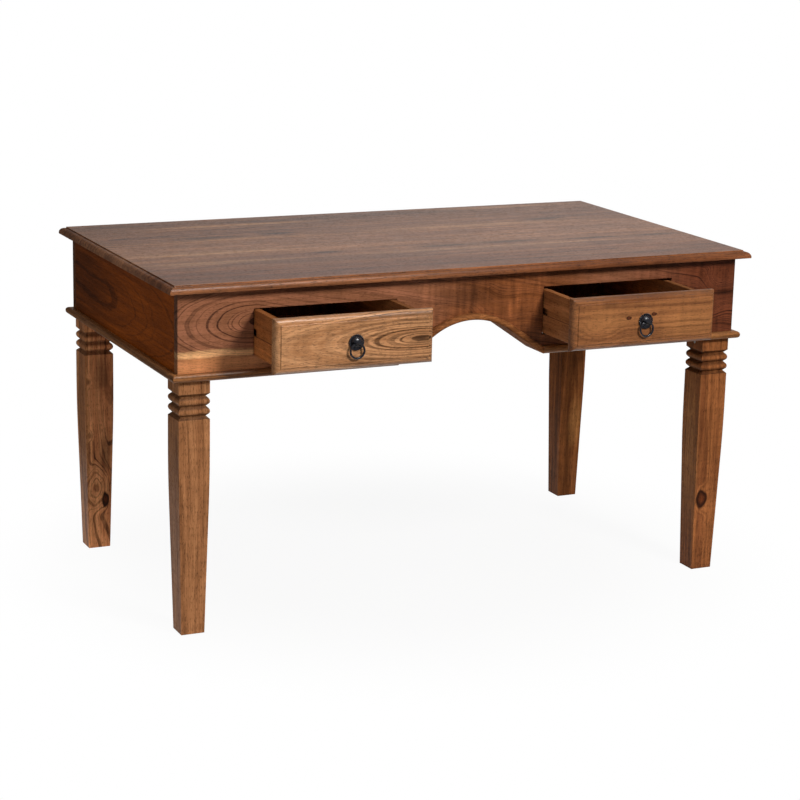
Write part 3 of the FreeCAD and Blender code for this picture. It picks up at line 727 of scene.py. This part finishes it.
# Acacia sawn to a curve and hardly polished: red brown and dull, with one small swirl
dress(timber("lacquered_acacia_arch", heart=(0, arch_face, 620), stretch=0.05, ring=7, soak=0.8, lines=0.5,
             shine=0.06, gloss=0.62, tones=("#9c6338", "#7c4a28", "#3c1e0d"),
             knots=(((5, arch_face, 652), (30, 30, 30), 0, 14),)),
      "arched_board")

# %% [markdown]
# ## The legs
#
# Each leg is turned and sawn from one square post, so its grain runs straight up, and on the
# slopes of the beads the cut ends of the fibres soak up stain: the grooves look darker than
# their shade alone would make them. Two of the legs were sawn close to branches.

# %% Legs
leg_finish = dict(grain="Z", soak=0.33, shine=0.05, fibres=0.17, pores=0.38)
front_legs = start_of("front_right_leg", "Y")
back_legs = start_of("back_left_leg", "Y")
# Acacia post with straight grain: warm brown, with soft lines up the taper
dress(timber("lacquered_acacia_front_left_leg", heart=(-668, -350, 250), stretch=0.08, ring=13, wander=10,
             tones=("#b27b51", "#94613d", "#4f2d17"), lines=0.4, line_width=0.07, **leg_finish),
      "front_left_leg")
# Acacia post from beside a branch: dark swirls on honey brown
dress(timber("lacquered_acacia_back_left_leg", heart=(-610, 300, 470), opens=-1, stretch=0.10, ring=11,
             wander=16, tones=("#e09b68", "#b26e46", "#35170b"), lines=0.9, line_width=0.08, **leg_finish,
             knots=(((-640, back_legs, 150), (42, 42, 85), 0, 52),
                    ((-622, back_legs, 118), (15, 30, 34), 0.6, 8),
                    ((-664, back_legs, 410), (20, 30, 26), 0, 12),
                    ((-660, back_legs, 279), (18, 30, 22), 0, 10)),
             patches=(((-630, back_legs, 425), (26, 40, 55), 0.55),
                      ((-622, back_legs, 235), (20, 40, 70), 0.5),
                      ((-664, back_legs, 410), (9, 30, 11), 0.5),
                      ((-660, back_legs, 279), (8, 30, 10), 0.5)),
             # This stain darkens the leg's left face: painted shade on that side
             stains=(((-670, 320, 300), (14, 60, 420), "#7c4f2e", 0.6),),
             quiet=(((-645, back_legs, 400), (70, 80, 190), 0.25),)), "back_left_leg")
# Acacia post with one round knot: red brown, paler where the grain parts round the knot
dress(timber("lacquered_acacia_front_right_leg", heart=(600, -340, 60), stretch=0.06, ring=9, wander=11,
             tones=("#945b33", "#704024", "#2c140a"), lines=0.35, **leg_finish,
             knots=(((624, front_legs, 172), (40, 34, 62), 0.40, 24),),
             # This stain lightens the leg's left face: painted light on that side
             stains=(((598, -330, 280), (16, 60, 420), "#b27c4c", 0.7),),
             patches=(((624, front_legs, 140), (34, 40, 95), 1.3),
                      ((624, front_legs, 330), (50, 80, 90), 0.85))),
      "front_right_leg")
# Acacia post: dark brown, darker above where shade under the top is painted, with a paler patch lower down
dress(timber("lacquered_acacia_back_right_leg", heart=(640, back_legs, 260), stretch=0.12, ring=12,
             wander=14, tones=("#a46438", "#6e4020", "#261306"), lines=0.35, **leg_finish,
             stains=(((650, back_legs, 200), (26, 40, 90), "#b27a45", 0.6),
                     # This dark stain high up is painted shade under the top
                     ((650, back_legs, 420), (40, 40, 110), "#4a2812", 0.6))),
      "back_right_leg")

# %% [markdown]
# ## The drawer fronts
#
# The two fronts were picked for their figure: crowded loops at the right end of the pale left
# one, small knots in the redder right one. Their moulded edges catch the card over the front, so
# they are given more shine than the carcass.

# %% Drawer fronts
front_finish = dict(soak=0.92, pores=0.42, shine=0.45, gloss=0.33)
front_depth = 40
# The heart of the left front lies this far before its face
figure_lead = 1
left_face = start_of("left_drawer_front", "Y") - figure_lead
right_face = start_of("right_drawer_front", "Y")
left_patches = (((-180, 652), (110, 110), 0.92), ((-190, 650), (45, 14), 0.6))
right_stains = (((240, 660), (90, 34), "#a06b3e", 0.4), ((330, 704), (130, 14), "#65391d", 0.7),
                ((460, 640), (110, 40), "#9c673b", 0.6))
# Flat-sawn acacia, moulded and lacquered: honey brown, with fine dark loops
dress(timber("lacquered_acacia_left_front", heart=(-190, left_face, 652), opens=-1, stretch=0.17, ring=4.6,
             wander=8, tones=("#c58f62", "#a9744a", "#4a2b14"), lines=1.0, line_width=0.15, streaks=0.06,
             **front_finish, patches=on_face("Y", left_face, front_depth, left_patches),
             quiet=(((-500, left_face, 652), (230, 60, 150), 0.2),)), "left_drawer_front")
# Flat-sawn acacia, moulded and lacquered: red brown, with two pin knots beside the pull
dress(timber("lacquered_acacia_right_front", heart=(200, -520, 600), opens=-1, stretch=0.2, ring=10,
             wander=12, tones=("#976138", "#7a4b2b", "#43220b"), lines=0.45, **front_finish,
             knots=(((301, right_face, 662), (20, 20, 11), 0.35, 5),
                    ((364, right_face, 667), (20, 20, 11), 0.35, 5),
                    ((225, right_face, 628), (90, 40, 50), 0, 22)),
             stains=on_face("Y", right_face, front_depth, right_stains),
             patches=(((252, right_face, 694), (30, 30, 12), 0.75),)), "right_drawer_front")

# %% [markdown]
# ## The drawer boxes and what is inside
#
# Sides and backs are plainer acacia, and the left sides show a joint between two boards. The
# floors are plywood, peeled from a turning log, which spreads the rings into broad pale waves.
# Runners, guides, blocks and battens are planed and left without much finish, because nobody
# sees them. The same function draws them all.

# %% Drawer boxes, floors and inner pieces
side_tones = {"left": ("#af6b3a", "#93592a", "#4a2610"), "right": ("#ba784a", "#9f6538", "#4a2610")}
lower_board = {"left": 1.3, "right": 0.9}
inner_tones = ("#98633c", "#7f4e2c", "#452510")
side_joint = ("Z", 646, 1.3, 0, 100, "#2c160a")
for side in ("left", "right"):
    # Straight-grained acacia, planed and lacquered: even mid brown, darker along the upper edge
    dress(timber(f"lacquered_acacia_{side}_drawer_side", grain="Y", heart=(0, -300, 640), stretch=0.05,
                 ring=9, tones=side_tones[side], lines=0.4, strips=(side_joint,),
                 patches=(((0, -450, 690), (900, 300, 46), 0.82),
                          ((0, -450, 622), (900, 300, 30), lower_board[side]))), f"{side}_drawer_left_side")
    # The same wood planed and given one thin coat: dull mid brown
    dress(timber(f"planed_acacia_{side}_drawer_box", grain="Y", heart=(0, -300, 640), stretch=0.05, ring=9,
                 tones=inner_tones, lines=0.4, gloss=0.5, shine=0.1),
          f"{side}_drawer_right_side", f"{side}_drawer_back")
    # Rotary-cut plywood, sanded: broad pale waves and hardly any shine
    dress(timber(f"rotary_cut_plywood_{side}", heart=(0, -100, 560), stretch=0.12, ring=34, wander=30,
                 tones=("#c9a777", "#b48f5e", "#8a6438"), lines=0.3, gloss=0.55, shine=0.3),
          f"{side}_drawer_floor")
# Hardwood straight from the planer: pale brown and dull
plain = timber("planed_hardwood", grain="Y", heart=(0, 0, 560), ring=12, gloss=0.6, shine=0.3,
               tones=("#a9794d", "#8f6038", "#5a381c"))
dress(plain, *[n for n in nodes if n.endswith(("_guide", "_runner", "_corner_block", "_batten"))])

# %% [markdown]
# ## The iron pulls
#
# The pulls are cast iron with a black lacquer baked on. Black iron could be a dark metal, but
# the film on it is a dielectric: it is nearly black where it mirrors the room and white where it
# mirrors a lamp. A fine casting grit under the film breaks the highlights up a little.

# %% Black iron
iron_grit = 2.0
grit_depth = 0.3
iron_roughness = (0.20, 0.34)
# Cast iron under black lacquer: black, with small bright lights on every rounding
iron, tree, output = new_material("black_lacquered_cast_iron")
place = add(tree, "TexCoord")["Object"]
grit = add(tree, "TexNoise", {"Vector": place, "Scale": 1000 / iron_grit, "Detail": 3.0})["Fac"]
tint = add(tree, "Mix", {0: grit, 6: linear("#17171b"), 7: linear("#2a2a30")}, data_type="RGBA")[2]
rough = add(tree, "MapRange", {0: grit, 1: mark_edge[0], 2: mark_edge[1],
                               3: iron_roughness[0], 4: iron_roughness[1]})[0]
relief = add(tree, "Bump", {"Height": grit, "Strength": 0.2, "Distance": grit_depth / 1000})[0]
skin = add(tree, "BsdfPrincipled", {"Base Color": tint, "Roughness": rough, "IOR": lacquer_ior,
                                    "Normal": relief})[0]
tree.links.new(skin, output.inputs["Surface"])
dress(iron, *[n for n in nodes if n.endswith(("_pull_plate", "_pull_post", "_pull_ring"))])

# %% [markdown]
# ## Screws, bolts and nuts
#
# The fasteners are steel with a bright zinc plating, which is crystalline close to: a faint
# mottle of lighter and darker grey. They are metal all through, so the shader is fully metallic.

# %% Plated steel
zinc_spangle = 3.0
# Zinc-plated steel: cool light grey with a soft, mottled gloss
zinc, tree, output = new_material("zinc_plated_steel")
place = add(tree, "TexCoord")["Object"]
grit = add(tree, "TexNoise", {"Vector": place, "Scale": 1000 / zinc_spangle, "Detail": 2.0})["Fac"]
tint = add(tree, "Mix", {0: grit, 6: linear("#a9a8a2"), 7: linear("#c4c3bd")}, data_type="RGBA")[2]
skin = add(tree, "BsdfPrincipled", {"Base Color": tint, "Metallic": 1.0, "Roughness": 0.32})[0]
tree.links.new(skin, output.inputs["Surface"])
dress(zinc, *[n for n in nodes if n.endswith(("screws", "bolts", "washers", "nuts", "_nut"))])

# %% [markdown]
# ## Finish
#
# Nothing was added to the shape of the desk, so the box of the dressed model has to equal the box
# of the CAD model. Every node is checked for a finish of its own.

# %% Finish
print("nodes without a finish:", sorted(set(nodes) - dressed))
